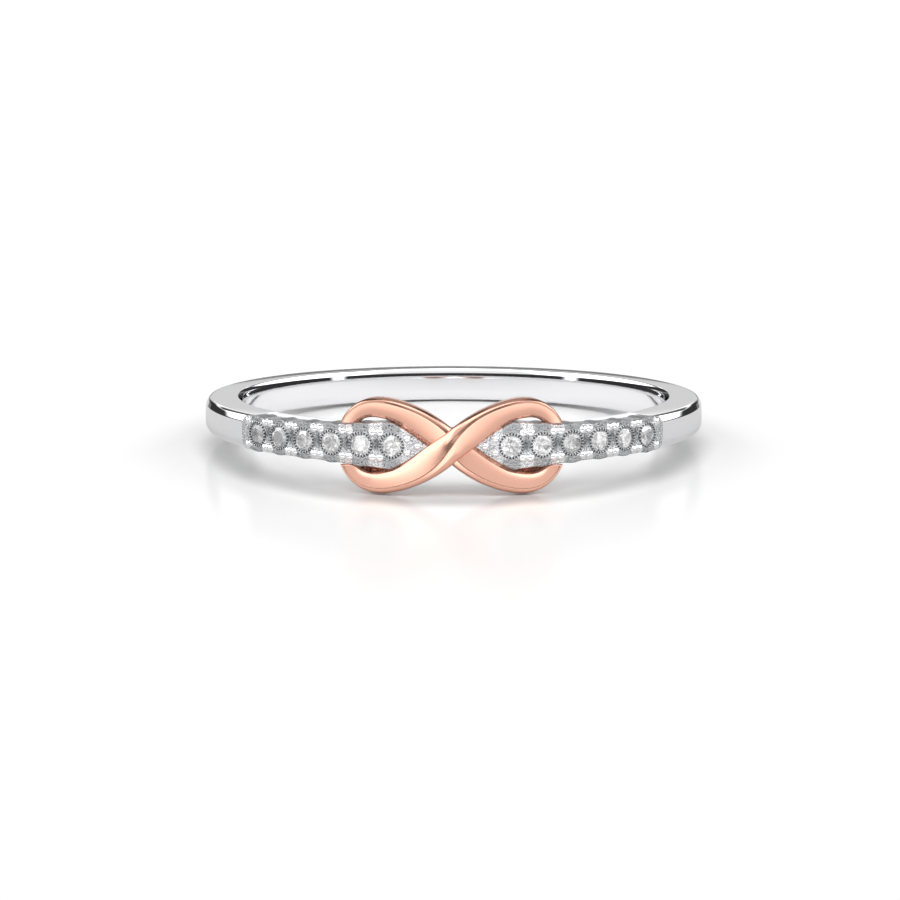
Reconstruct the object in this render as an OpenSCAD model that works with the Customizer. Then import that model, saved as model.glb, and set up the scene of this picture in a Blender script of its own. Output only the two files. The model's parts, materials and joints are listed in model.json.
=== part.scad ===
// Infinity ring lying on its side, in millimetres.
// The knot is at the front (-Y), the hole for the finger is open towards the top.
// The origin is the middle of the finger hole. The whole ring leans back by rest_tilt,
// because it lies on the two loops of the knot and on the lower edge of the back.

/* [Finger hole] */
// Diameter inside the ring
finger_d = 16.5; // [15:0.1:21]
// Height of the straight wall inside the ring
land_h = 0.84; // [0.7:0.02:0.96]
// How far the inner wall opens out towards each edge
comfort = 0.1; // [0.05:0.01:0.14]

/* [Shank] */
// Thickness from the finger hole to the middle of the outer face
shank_t = 1.38; // [1.3:0.02:1.6]
// Height of the shank at the sides and the front
shank_h = 1.4; // [1.32:0.02:1.5]
// Height of the shank at the back
back_h = 1.24; // [1.1:0.02:1.3]
// How far the outer face stands proud of its edges
crown = 0.16; // [0.08:0.01:0.2]
// Thickness of the plain bridge behind the knot
bridge_t = 0.85; // [0.7:0.01:0.9]

/* [Shoulders] */
// Distance from the finger hole to the face that the stones are set in
face_t = 1.45; // [1.4:0.01:1.55]
// Angle from the front to the stone next to the knot
first_stone = 13.6; // [13.2:0.1:14]
// Angle from one stone to the next
stone_step = 7.35; // [7.1:0.05:7.5]
// Height of a shoulder where it grows out of the shank
shoulder_low_h = 1.38; // [1.36:0.01:1.42]
// Height of a shoulder at its widest, inside the knot
shoulder_high_h = 1.81; // [1.72:0.01:1.84]
// Angle from the front to that widest place
shoulder_high_at = 17; // [16:0.5:18]
// How far the cup of each stone swells out of the shoulder's edge
cup_swell = 0.04; // [0.02:0.01:0.06]
// Length of metal past the outermost seat
end_rim = 0.4; // [0.3:0.02:0.5]

/* [Stones] */
// Diameter of each stone
stone_d = 0.9; // [0.8:0.01:0.94]
// Height from a stone's girdle to its table
crown_facet_h = 0.15; // [0.1:0.01:0.18]
// Height from a stone's girdle down to its point
pavilion_h = 0.39; // [0.3:0.01:0.4]
// Width of the table as a share of the stone's diameter
table_share = 0.56; // [0.5:0.01:0.62]
// How far the table stands out of the shoulder's face
table_proud = 0.06; // [0.02:0.01:0.08]
// Gap between a stone and its seat
stone_gap = 0.025; // [0.02:0.005:0.035]

/* [Beads] */
// Diameter of the beads that hold the stones
bead_d = 0.3; // [0.24:0.01:0.31]
// Distance from the middle of the shoulder to each bead
bead_rise = 0.49; // [0.46:0.01:0.5]
// Distance between the two beads of a pair
bead_pair = 0.32; // [0.32:0.01:0.34]
// How deep the middle of a bead lies under the shoulder's face
bead_sink = 0.03; // [0:0.01:0.08]
// Diameter of the three beads in the leaf's point
tip_bead_d = 0.24; // [0.2:0.01:0.26]

/* [Knot] */
// Distance from the middle of the knot to the outermost reach of its centre line
knot_reach = 4.42; // [4.36:0.01:4.46]
// Height of the knot over both loops
knot_h = 3.72; // [3.66:0.02:3.9]
// Width of a strand at the loops
strand_w = 0.82; // [0.76:0.02:0.88]
// Width of a strand at the crossing
cross_w = 1.08; // [0.9:0.02:1.12]
// Width that a strand tapers towards where it runs into a shoulder
end_w = 0.58; // [0.5:0.02:0.7]
// Thickness of a strand from its back to its ridge
strand_t = 0.66; // [0.56:0.02:0.76]
// How far the upper strand is lifted over the lower one
cross_lift = 0.3; // [0.2:0.02:0.4]
// Length of strand over which it is lifted
lift_span = 1.5; // [1.2:0.1:2]
// Sideways drift of the ridge at the loops as a share of the strand's width
ridge_drift = 0.16; // [0.1:0.02:0.24]
// Gap between the knot and the band
knot_gap = 0.03; // [0.02:0.01:0.04]
// Gap between a strand and the leaf inside its loop
leaf_gap = 0.06; // [0.03:0.01:0.08]

/* [Hidden] */
stones_per_side = 6;
SIDES = [["left", -1], ["right", 1]];
$fn = 96;

finger_r = finger_d / 2;
crown_r = finger_r + shank_t;
edge_r = crown_r - crown;
bridge_r = finger_r + bridge_t;
face_r = finger_r + face_t;
// what cuts or trims reaches this far past what it cuts
past = 0.3;

// Stones and their seats, measured from the ring's axis
girdle_t = 0.03;
table_r = face_r + table_proud;
girdle_r = table_r - crown_facet_h;
point_r = girdle_r - girdle_t - pavilion_h;
seat_d = stone_d + 2 * stone_gap;
seat_floor_r = girdle_r - girdle_t - stone_gap;
// the seat's cone is steeper than the stone's, so that the gap grows towards the point
seat_point_r = point_r - 2.5 * stone_gap;
star_share = 0.79;
lower_share = 0.3;
stone_facets = 8;

function stone_angle(i) = first_stone + (i - 1) * stone_step;
last_stone = stone_angle(stones_per_side);
half_step = stone_step / 2;
half_pitch = face_r * tan(half_step);
shoulder_end = last_stone + half_step;

// Half the shoulder's height at an angle from the front: it grows with the third power
function shoulder_half(a) =
    shoulder_low_h / 2 + (shoulder_high_h - shoulder_low_h) / 2
    * pow(max(shoulder_end - a, 0) / (shoulder_end - shoulder_high_at), 3);

// Knot: centre line u = reach sin t, z = rise sin 2t, unrolled on a circle of radius wrap_r
knot_back_r = bridge_r + knot_gap;
wrap_r = face_r;
knot_rise = (knot_h - strand_w) / 2;
strand_end_z = shoulder_half(stone_angle(2)) + knot_gap;
sweep_t = 80;
strand_steps = 68;

// Leaf: its edge follows the strands between these two values of t
leaf_from_t = 12;
leaf_to_t = 52;
leaf_step_t = 4;
// Its square end overlaps the next plate by the second of these angles
leaf_corner_a = 1;
leaf_overlap_a = 0.6;
plate_overlap = 0.02;
end_corner = 0.15;

// Beads at the shoulder's end, and in the leaf's point as seen from the stone next to it
end_bead_in = 0.04;
end_bead_share = 0.94;
tip_pair_in = 0.57;
tip_last_in = 0.38;
tip_rise = 0.29;

function center_line(t) = [knot_reach * sin(t), knot_rise * sin(2 * t)];
function heading(t) = atan2(2 * knot_rise * cos(2 * t), knot_reach * cos(t));
function width_at(t) =
    strand_w + (cross_w - strand_w) * pow(max(cos(2 * t), 0), 2) + (end_w - strand_w) * max(-cos(2 * t), 0);
function lift_at(t) = let (u = center_line(t)[0]) exp(-pow(u / lift_span, 2) * 2);
function ridge_at(t) = ridge_drift * sin(min(max(2 * t, -90), 90));

// Inner edge of a strand, moved into the eye of its loop by the leaf's gap
function eye_edge(t) =
    let (c = center_line(t), a = heading(t) + 90, w = width_at(t) / 2 + leaf_gap)
    [c[0] - w * cos(a), c[1] - w * sin(a)];
function degrees_along(u) = u / wrap_r * 180 / PI;

// Section of a strand: share of its width to the side, share of its thickness out
strand_low = [[-0.36, 0], [-0.47, 0.16], [-0.5, 0.36], [-0.46, 0.56]];
// How high the face is, halfway from each edge to the ridge, as a share of the thickness
half_way_out = 0.83;
function strand_section(t) =
    let (r = ridge_at(t), e = strand_low[3][0])
    concat(
        strand_low,
        [[(e + r) / 2, half_way_out], [r, 1], [(r - e) / 2, half_way_out]],
        [for (i = [3 : -1 : 0]) [-strand_low[i][0], strand_low[i][1]]]);

// The ring leans back until the knot's loops and the back's lower edge lie level
loop_t = 45;
rest_front_y = (knot_back_r + strand_low[2][1] * strand_t)
    * cos(degrees_along(center_line(loop_t)[0]));
rest_tilt = atan((knot_h - back_h) / 2 / (rest_front_y + edge_r));

// Puts x to the side, y up and z out of the ring, at an angle from the front
module on_ring(angle) {
    rotate([0, 0, angle]) rotate([90, 0, 0]) children();
}

module both_sides() {
    children();
    mirror([1, 0, 0]) children();
}

module resting() {
    rotate([-rest_tilt, 0, 0]) children();
}

// Section of the shank in radius and height, taller than the shank so that the taper cuts it
module shank_section() {
    half = shank_h / 2;
    reach = half + past;
    crown_steps = 16;
    flare_steps = 4;
    function outer(z) = crown_r - crown * pow(min(abs(z) / half, 1), 3);
    function inner(z) = let (f = (abs(z) - land_h / 2) / (half - land_h / 2))
        finger_r + comfort * pow(min(max(f, 0), 1), 2);
    polygon(concat(
        [[finger_r, -land_h / 2]],
        [for (i = [1 : flare_steps])
            let (z = -land_h / 2 - (half - land_h / 2) * i / flare_steps) [inner(z), z]],
        [[finger_r + comfort, -reach], [edge_r, -reach]],
        [for (i = [0 : crown_steps]) let (z = half * (2 * i / crown_steps - 1)) [outer(z), z]],
        [[edge_r, reach], [finger_r + comfort, reach]],
        [for (i = [flare_steps : -1 : 1])
            let (z = land_h / 2 + (half - land_h / 2) * i / flare_steps) [inner(z), z]],
        [[finger_r, land_h / 2]]));
}

// Full height from the front to the sides, lower towards the back
module taper() {
    far = crown_r + past;
    slope_h = back_h - (shank_h - back_h) * past / crown_r;
    rotate([90, 0, 90]) linear_extrude(2 * far, center = true)
        polygon([
            [-far, -shank_h / 2], [0, -shank_h / 2], [far, -slope_h / 2],
            [far, slope_h / 2], [0, shank_h / 2], [-far, shank_h / 2]]);
}

module shank() {
    knot_half = stone_angle(2) + half_step;
    difference() {
        intersection() {
            rotate_extrude() shank_section();
            taper();
        }
        rotate([0, 0, -90 - knot_half]) rotate_extrude(angle = 2 * knot_half)
            translate([bridge_r, -shank_h]) square([shank_t, 2 * shank_h]);
    }
}

// Leaf that fills the eye of a loop, with the two stones nearest to the crossing
module leaf() {
    leaf_at = stone_angle(1) + half_step / 2;
    outer_at = stone_angle(2) + half_step;
    mid_r = (bridge_r + face_r) / 2;
    function flat(a, z) = [mid_r * sin(a - leaf_at), z];
    edge = [for (t = [leaf_from_t : leaf_step_t : leaf_to_t]) eye_edge(t)];
    tip_u = edge[0][0] - edge[0][1] * (edge[1][0] - edge[0][0]) / (edge[1][1] - edge[0][1]);
    upper = concat(
        [for (e = edge) let (a = degrees_along(e[0])) [a, min(e[1], shoulder_half(a))]],
        [for (a = [outer_at - leaf_corner_a, outer_at + leaf_overlap_a]) [a, shoulder_half(a)]]);
    on_ring(leaf_at) linear_extrude(face_r + past) polygon(concat(
        [flat(degrees_along(tip_u), 0)],
        [for (p = upper) flat(p[0], p[1])],
        [for (i = [len(upper) - 1 : -1 : 0]) flat(upper[i][0], -upper[i][1])]));
}

// Metal around one stone: a plate that tapers with the shoulder
module stone_plate(i) {
    rim = i == stones_per_side ? end_rim : 0;
    wide = half_pitch + plate_overlap;
    near_half = shoulder_half(stone_angle(i) - half_step) - cup_swell;
    far_half = shoulder_half(stone_angle(i) + half_step) - cup_swell;
    corner = rim > 0 ? end_corner : 0;
    far_x = wide + rim;
    on_ring(stone_angle(i)) linear_extrude(face_r + past) polygon([
        [-wide, -near_half], [far_x - corner, -far_half], [far_x, corner - far_half],
        [far_x, far_half - corner], [far_x - corner, far_half], [-wide, near_half]]);
}

module cup(i) {
    on_ring(stone_angle(i)) cylinder(r = shoulder_half(stone_angle(i)), h = face_r + past);
}

module shoulder() {
    root_r = (finger_r + comfort + edge_r) / 2;
    intersection() {
        union() {
            leaf();
            for (i = [3 : stones_per_side]) stone_plate(i);
            for (i = [2 : stones_per_side]) cup(i);
        }
        rotate_extrude() translate([root_r, -knot_h / 2]) square([face_r - root_r, knot_h]);
    }
}

module seat(i) {
    on_ring(stone_angle(i)) {
        translate([0, 0, seat_floor_r]) cylinder(d = seat_d, h = face_r + past - seat_floor_r);
        translate([0, 0, seat_point_r])
            cylinder(d1 = stone_gap, d2 = seat_d, h = seat_floor_r - seat_point_r);
    }
}

module bead(angle, x, z, d) {
    on_ring(angle) translate([x, z, face_r - bead_sink]) sphere(d = d);
}

// Two pairs of beads between neighbouring stones, one pair past the last, three at the point
module beads() {
    tip_side_u = wrap_r * first_stone * PI / 180 - tip_pair_in;
    tip_end_u = tip_side_u - tip_last_in;
    for (z = [-bead_rise, bead_rise]) {
        for (i = [1 : stones_per_side - 1], x = [-bead_pair / 2, bead_pair / 2])
            bead(stone_angle(i) + half_step, x, z, bead_d);
        bead(shoulder_end, -end_bead_in, z * end_bead_share, bead_d);
    }
    for (z = [-tip_rise, tip_rise]) bead(degrees_along(tip_side_u), 0, z, tip_bead_d);
    bead(degrees_along(tip_end_u), 0, 0, tip_bead_d);
}

// Shank, bridge, shoulders, cups and beads are cast in one piece
module band() {
    color([0.83, 0.83, 0.85]) resting() {
        difference() {
            union() {
                shank();
                both_sides() shoulder();
            }
            both_sides() for (i = [1 : stones_per_side]) seat(i);
        }
        both_sides() beads();
    }
}

// One strand swept along its centre line; rise is 1 for the strand that climbs to the right
module strand(rise, lifted) {
    rings = [for (k = [0 : strand_steps])
        let (
            t = -sweep_t + 2 * sweep_t * k / strand_steps,
            c = center_line(t), a = heading(t) + 90, w = width_at(t),
            back = knot_back_r + lifted * lift_at(t))
        [for (s = strand_section(t))
            let (
                u = c[0] + s[0] * w * cos(a),
                z = rise * (c[1] + s[0] * w * sin(a)),
                r = back + s[1] * strand_t,
                f = degrees_along(u))
            [r * sin(f), -r * cos(f), z]]];
    sides = len(rings[0]);
    flip = rise > 0;
    function turned(face) = flip ? [for (i = [len(face) - 1 : -1 : 0]) face[i]] : face;
    polyhedron(
        points = [for (ring = rings) for (p = ring) p],
        faces = concat(
            [turned([for (i = [0 : sides - 1]) i])],
            [for (k = [0 : strand_steps - 1]) for (i = [0 : sides - 1])
                let (a = k * sides + i, b = k * sides + (i + 1) % sides)
                each [turned([a, a + sides, b]), turned([b, a + sides, b + sides])]],
            [turned([for (i = [sides - 1 : -1 : 0]) strand_steps * sides + i])]));
}

// Room for the shoulders: the strands end level on both sides of it
module strand_ends() {
    from_x = face_r * sin(degrees_along(eye_edge(leaf_to_t)[0]));
    both_sides() translate([from_x, -crown_r - strand_t, -strand_end_z])
        cube([knot_reach, crown_r, 2 * strand_end_z]);
}

// Both strands are soldered where they cross
module infinity_knot() {
    color([0.87, 0.6, 0.5]) resting() difference() {
        union() {
            strand(-1, 0);
            strand(1, cross_lift);
        }
        strand_ends();
    }
}

// Round brilliant with its girdle's top at z = 0 and its table up
module brilliant() {
    n = stone_facets;
    r = stone_d / 2;
    t = r * table_share;
    step = 360 / n;
    star = r * star_share;
    low = r * lower_share;
    function crown_z(x) = crown_facet_h * (r - x) / (r - t);
    function pavilion_z(x) = -girdle_t - pavilion_h * (r - x) / r;
    function ring(count, radius, turn, z) =
        [for (k = [0 : count - 1]) let (a = 360 / count * (k + turn))
            [radius * cos(a), radius * sin(a), z]];
    table = 0;
    stars = n;
    upper = 2 * n;
    lower = 4 * n;
    lows = 6 * n;
    point = 7 * n;
    polyhedron(
        points = concat(
            ring(n, t, 0, crown_facet_h),
            ring(n, star, 0.5, crown_z(star * cos(step / 2))),
            ring(2 * n, r, 0, 0),
            ring(2 * n, r, 0, -girdle_t),
            ring(n, low, 0.5, pavilion_z(low * cos(step / 2))),
            [[0, 0, -girdle_t - pavilion_h]]),
        faces = concat(
            [[for (k = [n - 1 : -1 : 0]) table + k]],
            [for (k = [0 : n - 1])
                let (
                    next = (k + 1) % n, last = (k + n - 1) % n,
                    g = 2 * k, g1 = 2 * k + 1, g2 = (2 * k + 2) % (2 * n))
                each [
                    [table + k, table + next, stars + k],
                    [table + k, stars + k, upper + g],
                    [table + k, upper + g, stars + last],
                    [stars + k, upper + g1, upper + g],
                    [stars + k, upper + g2, upper + g1],
                    [upper + g, upper + g1, lower + g],
                    [upper + g1, lower + g1, lower + g],
                    [upper + g1, upper + g2, lower + g1],
                    [upper + g2, lower + g2, lower + g1],
                    [lower + g, lower + g1, lows + k],
                    [lower + g1, lower + g2, lows + k],
                    [lower + g, lows + k, point],
                    [lower + g, point, lows + last]]]));
}

module stone(side, i) {
    color([0.93, 0.95, 0.97]) resting() on_ring(side * stone_angle(i))
        translate([0, 0, girdle_r]) brilliant();
}

band();
infinity_knot();
for (side = SIDES) for (i = [1 : stones_per_side])
    stone(side[1], i);
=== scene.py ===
import json
import math

import bmesh
import bpy
import numpy as np
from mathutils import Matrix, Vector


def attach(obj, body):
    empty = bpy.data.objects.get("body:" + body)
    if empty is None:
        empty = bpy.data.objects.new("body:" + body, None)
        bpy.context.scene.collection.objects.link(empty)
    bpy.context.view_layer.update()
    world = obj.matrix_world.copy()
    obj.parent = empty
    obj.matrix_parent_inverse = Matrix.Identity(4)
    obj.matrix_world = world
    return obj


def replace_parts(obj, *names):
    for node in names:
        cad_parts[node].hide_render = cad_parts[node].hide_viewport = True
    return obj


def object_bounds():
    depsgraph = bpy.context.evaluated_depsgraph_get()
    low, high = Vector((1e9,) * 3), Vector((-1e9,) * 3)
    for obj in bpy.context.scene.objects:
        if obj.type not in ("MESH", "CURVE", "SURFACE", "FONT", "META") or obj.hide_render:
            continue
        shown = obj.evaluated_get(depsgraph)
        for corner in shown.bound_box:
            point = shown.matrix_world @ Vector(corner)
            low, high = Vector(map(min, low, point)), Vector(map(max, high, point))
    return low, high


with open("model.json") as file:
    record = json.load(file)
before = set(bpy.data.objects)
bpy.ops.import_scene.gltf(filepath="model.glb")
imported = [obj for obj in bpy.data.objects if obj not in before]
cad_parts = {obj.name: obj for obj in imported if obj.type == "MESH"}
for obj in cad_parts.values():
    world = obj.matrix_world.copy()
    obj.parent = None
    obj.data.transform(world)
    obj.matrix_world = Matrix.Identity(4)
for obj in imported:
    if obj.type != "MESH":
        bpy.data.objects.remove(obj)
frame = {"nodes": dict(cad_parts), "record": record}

cadLow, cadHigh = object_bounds()
hole = frame["record"]["mounts"][0]

# The ring's own sizes, in millimetres and degrees, as the solids have them.
# Every point is first placed in the ring's frame: x to the right, front at -y, z along the finger.
ring = {
    "fingerRadius": hole["dims"]["r_mm"],
    "lean": math.atan2(hole["axis"][1], hole["axis"][2]),
    "shankThickness": 1.38,
    "shankHeight": 1.4,
    "backHeight": 1.24,
    "faceThickness": 1.45,
    "bridgeThickness": 0.85,
    "firstStone": 13.6,
    "stoneStep": 7.35,
    "stonesPerSide": 6,
    "shoulderLow": 1.38,
    "shoulderHigh": 1.81,
    "shoulderHighAt": 17,
}
faceRadius = ring["fingerRadius"] + ring["faceThickness"]
crownRadius = ring["fingerRadius"] + ring["shankThickness"]
bridgeRadius = ring["fingerRadius"] + ring["bridgeThickness"]
stoneAngles = ring["firstStone"] + ring["stoneStep"] * np.arange(ring["stonesPerSide"])
halfStep = ring["stoneStep"] / 2
shoulderEnd = stoneAngles[-1] + halfStep
millimetre = 0.001
# Points of one piece that lie closer than this, in metres, are one point
weld = 2e-7


# smoothstep between two values
def ease(low, high, x):
    s = np.clip((x - low) / (high - low), 0, 1)
    return s * s * (3 - 2 * s)


# Angle from the front, radius and height to a point: (r sin a, -r cos a, h), leant back to rest, in metres
def onRing(angle, radius, height):
    angle, radius, height = np.broadcast_arrays(np.radians(angle), radius, height)
    x, y = radius * np.sin(angle), -radius * np.cos(angle)
    c, s = math.cos(ring["lean"]), math.sin(ring["lean"])
    return np.stack([x, y * c + height * s, height * c - y * s], -1) * millimetre


# Half the shoulder's height grows with the third power of the way from its end
def shoulderHalf(angle):
    grow = np.maximum(shoulderEnd - angle, 0) / (shoulderEnd - ring["shoulderHighAt"])
    return ring["shoulderLow"] / 2 + (ring["shoulderHigh"] - ring["shoulderLow"]) / 2 * grow**3


# A path between its first and last corner, each corner between them replaced by a parabola that starts and
# ends rounds[i] before and after it
def roundedPath(corners, rounds, steps):
    corners = np.array(corners, float)
    before, after = np.roll(corners, 1, 0), np.roll(corners, -1, 0)
    toBefore = (before - corners) / np.linalg.norm(before - corners, axis=1, keepdims=True)
    toAfter = (after - corners) / np.linalg.norm(after - corners, axis=1, keepdims=True)
    rounds = np.array(rounds, float)[:, None]
    t = np.linspace(0, 1, steps)[None, :, None]
    first, last = (corners + toBefore * rounds)[:, None], (corners + toAfter * rounds)[:, None]
    bends = first * (1 - t) ** 2 + corners[:, None] * 2 * t * (1 - t) + last * t**2
    return bends[1:-1].reshape(-1, 2)


# One mesh object from several grids of points, each closed along its rows, its columns or both
def makePiece(name, material, grids):
    points, faces, masks, count = [], [], {}, 0
    for grid in grids:
        p = grid["points"]
        rows, cols = p.shape[:2]
        r = np.arange(rows if grid.get("wrapRows") else rows - 1)[:, None]
        c = np.arange(cols if grid.get("wrapCols") else cols - 1)[None, :]
        r2, c2 = (r + 1) % rows, (c + 1) % cols
        quads = np.stack([r * cols + c, r * cols + c2, r2 * cols + c2, r2 * cols + c], -1).reshape(-1, 4)
        points.append(p.reshape(-1, 3))
        faces.append(quads + count)
        for key, values in grid.get("masks", {}).items():
            masks.setdefault(key, []).append(np.broadcast_to(values, (rows, cols)).ravel())
        count += rows * cols
    points, faces = np.concatenate(points), np.concatenate(faces)
    mesh = bpy.data.meshes.new(name)
    mesh.vertices.add(len(points))
    mesh.vertices.foreach_set("co", points.astype(np.float32).ravel())
    mesh.loops.add(faces.size)
    mesh.loops.foreach_set("vertex_index", faces.astype(np.int32).ravel())
    mesh.polygons.add(len(faces))
    mesh.polygons.foreach_set("loop_start", np.arange(0, faces.size, 4, dtype=np.int32))
    mesh.polygons.foreach_set("use_smooth", np.full(len(faces), True))
    for key, values in masks.items():
        layer = mesh.attributes.new(key, "FLOAT", "POINT")
        layer.data.foreach_set("value", np.concatenate(values).astype(np.float32))
    mesh.update(calc_edges=True)
    work = bmesh.new()
    work.from_mesh(mesh)
    bmesh.ops.remove_doubles(work, verts=work.verts, dist=weld)
    bmesh.ops.recalc_face_normals(work, faces=work.faces)
    work.to_mesh(mesh)
    work.free()
    mesh.materials.append(material)
    obj = bpy.data.objects.new(name, mesh)
    bpy.context.scene.collection.objects.link(obj)
    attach(obj, "root")
    print(name, "has", len(mesh.polygons), "faces")
    return obj


# Adds a node, sets its plain inputs by name or number, and links the others
def addNode(tree, kind, inputs=None, **settings):
    node = tree.nodes.new(kind)
    for key, value in settings.items():
        setattr(node, key, value)
    for key, value in (inputs or {}).items():
        if isinstance(value, bpy.types.NodeSocket):
            tree.links.new(value, node.inputs[key])
        else:
            node.inputs[key].default_value = value
    return node


def mathNode(tree, kind, a, b=None, c=None):
    values = {i: v for i, v in enumerate((a, b, c)) if v is not None}
    return addNode(tree, "ShaderNodeMath", values, operation=kind).outputs[0]


# 0 below a value and 1 above it, over twice the soft width
def stepNode(tree, value, at, soft):
    low = mathNode(tree, "SUBTRACT", at, soft)
    high = mathNode(tree, "ADD", at, soft)
    return addNode(tree, "ShaderNodeMapRange", {"Value": value, "From Min": low, "From Max": high},
                   interpolation_type="SMOOTHSTEP").outputs[0]


def mixNode(tree, factor, a, b):
    return addNode(tree, "ShaderNodeMix", {"Factor": factor, 2: a, 3: b}, data_type="FLOAT").outputs[0]


def oneMinus(tree, value):
    return mathNode(tree, "SUBTRACT", 1.0, value)


def mapNode(tree, value, fromLow, fromHigh, toLow, toHigh):
    return addNode(tree, "ShaderNodeMapRange", {"Value": value, "From Min": fromLow, "From Max": fromHigh,
                                                "To Min": toLow, "To Max": toHigh}).outputs[0]


def newGroup(name, inputs, outputs):
    group = bpy.data.node_groups.new(name, "ShaderNodeTree")
    for socketName, kind, value in inputs:
        socket = group.interface.new_socket(socketName, in_out="INPUT", socket_type=kind)
        socket.default_value = value
    for socketName, kind in outputs:
        group.interface.new_socket(socketName, in_out="OUTPUT", socket_type=kind)
    return group, group.nodes.new("NodeGroupInput"), group.nodes.new("NodeGroupOutput")


# Polish: scales per metre, the buffing lines' stretch along the finger and their depth in metres
polishLook = {
    "slowScale": 320.0,
    "fineScale": 9000.0,
    "lineScale": 1500.0,
    "lineStretch": 26.0,
    "lineDepth": 2e-6,
    "toneFrom": 0.3,
    "toneTo": 0.7,
    "dark": (0.35, 0.33, 0.32, 1),
}


# Polish: fine round-and-round buffing lines, a drift of the gloss by slow times fine noise and darker clouds
def makePolishGroup():
    group, given, made = newGroup(
        "polish",
        [("Color", "NodeSocketColor", (1, 1, 1, 1)), ("Tone", "NodeSocketFloat", 0.05),
         ("Gloss", "NodeSocketFloat", 0.08), ("Haze", "NodeSocketFloat", 0.05),
         ("Lines", "NodeSocketFloat", 0.1)],
        [("Color", "NodeSocketColor"), ("Roughness", "NodeSocketFloat"), ("Normal", "NodeSocketVector")])
    k = polishLook
    place = addNode(group, "ShaderNodeTexCoord").outputs["Object"]
    slow = addNode(group, "ShaderNodeTexNoise", {"Vector": place, "Scale": k["slowScale"], "Detail": 3.0})
    fine = addNode(group, "ShaderNodeTexNoise", {"Vector": place, "Scale": k["fineScale"], "Detail": 2.0})
    stretched = addNode(group, "ShaderNodeMapping", {"Vector": place, "Scale": (1.0, 1.0, k["lineStretch"])})
    lines = addNode(group, "ShaderNodeTexNoise",
                    {"Vector": stretched.outputs["Vector"], "Scale": k["lineScale"], "Detail": 4.0})
    mixed = mathNode(group, "MULTIPLY", slow.outputs["Fac"], fine.outputs["Fac"])
    roughness = mathNode(group, "MULTIPLY_ADD", mixed, given.outputs["Haze"], given.outputs["Gloss"])
    shade = mapNode(group, slow.outputs["Fac"], k["toneFrom"], k["toneTo"], 1.0, 0.0)
    toned = mathNode(group, "MULTIPLY", shade, given.outputs["Tone"])
    darker = addNode(group, "ShaderNodeMix", {"Factor": toned, 6: given.outputs["Color"], 7: k["dark"]},
                     data_type="RGBA")
    bump = addNode(group, "ShaderNodeBump", {"Strength": given.outputs["Lines"], "Distance": k["lineDepth"],
                                             "Height": lines.outputs["Fac"]})
    group.links.new(darker.outputs[2], made.inputs["Color"])
    group.links.new(roughness, made.inputs["Roughness"])
    group.links.new(bump.outputs["Normal"], made.inputs["Normal"])
    return group


# Grain: distances in shares of a cell, and the depth in metres
grainLook = {
    "cells": 15000,
    "dark": (0.05, 0.055, 0.06, 1),
    "domeFrom": 0.15,
    "gapFrom": 0.42,
    "cellTo": 0.75,
    "patchFrom": 0.4,
    "patchTo": 0.6,
    "patchLeast": 0.2,
    "bump": 0.9,
    "depth": 3e-5,
    "roughness": 0.16,
    "deepRoughness": 0.5,
}


# Grain: the punched and cut metal between the stones, as small round cells with dark gaps, darkened further
# by painted shade given by a second input
def makeGrainGroup():
    group, given, made = newGroup(
        "grain",
        [("Color", "NodeSocketColor", (1, 1, 1, 1)), ("Dark", "NodeSocketColor", grainLook["dark"]),
         ("Cells per metre", "NodeSocketFloat", grainLook["cells"]), ("Amount", "NodeSocketFloat", 0.0),
         ("Crevice", "NodeSocketFloat", 0.0), ("Normal", "NodeSocketVector", (0, 0, 0))],
        [("Color", "NodeSocketColor"), ("Roughness", "NodeSocketFloat"), ("Normal", "NodeSocketVector")])
    k = grainLook
    place = addNode(group, "ShaderNodeTexCoord").outputs["Object"]
    scale = given.outputs["Cells per metre"]
    cells = addNode(group, "ShaderNodeTexVoronoi", {"Vector": place, "Scale": scale}).outputs["Distance"]
    noise = addNode(group, "ShaderNodeTexNoise", {"Vector": place, "Scale": scale, "Detail": 2.0})
    domes = mapNode(group, cells, k["domeFrom"], k["cellTo"], 1.0, 0.0)
    height = mathNode(group, "MULTIPLY", domes, given.outputs["Amount"])
    bump = addNode(group, "ShaderNodeBump", {"Strength": k["bump"], "Distance": k["depth"], "Height": height,
                                             "Normal": given.outputs["Normal"]})
    gaps = mapNode(group, cells, k["gapFrom"], k["cellTo"], 0.0, 1.0)
    patchy = mapNode(group, noise.outputs["Fac"], k["patchFrom"], k["patchTo"], k["patchLeast"], 1.0)
    specks = mathNode(group, "MULTIPLY", mathNode(group, "MULTIPLY", gaps, patchy), given.outputs["Amount"])
    # The dark colour covers the grain's gaps and the painted shade, whichever is more
    darkening = addNode(group, "ShaderNodeMath", {0: specks, 1: given.outputs["Crevice"]}, operation="MAXIMUM",
                   use_clamp=True).outputs[0]
    color = addNode(group, "ShaderNodeMix", {"Factor": darkening, 6: given.outputs["Color"],
                                             7: given.outputs["Dark"]}, data_type="RGBA")
    roughness = mapNode(group, darkening, 0.0, 1.0, k["roughness"], k["deepRoughness"])
    group.links.new(color.outputs[2], made.inputs["Color"])
    group.links.new(roughness, made.inputs["Roughness"])
    group.links.new(bump.outputs["Normal"], made.inputs["Normal"])
    return group


polishGroup = makePolishGroup()
grainGroup = makeGrainGroup()


def newMaterial(name):
    material = bpy.data.materials.new(name)
    material.use_nodes = True
    tree = material.node_tree
    return material, tree, tree.nodes["Principled BSDF"]


def addPolish(tree, look):
    polish = addNode(tree, "ShaderNodeGroup", node_tree=polishGroup)
    for key in ("Color", "Tone", "Gloss", "Haze", "Lines"):
        polish.inputs[key].default_value = look[key]
    return polish


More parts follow.
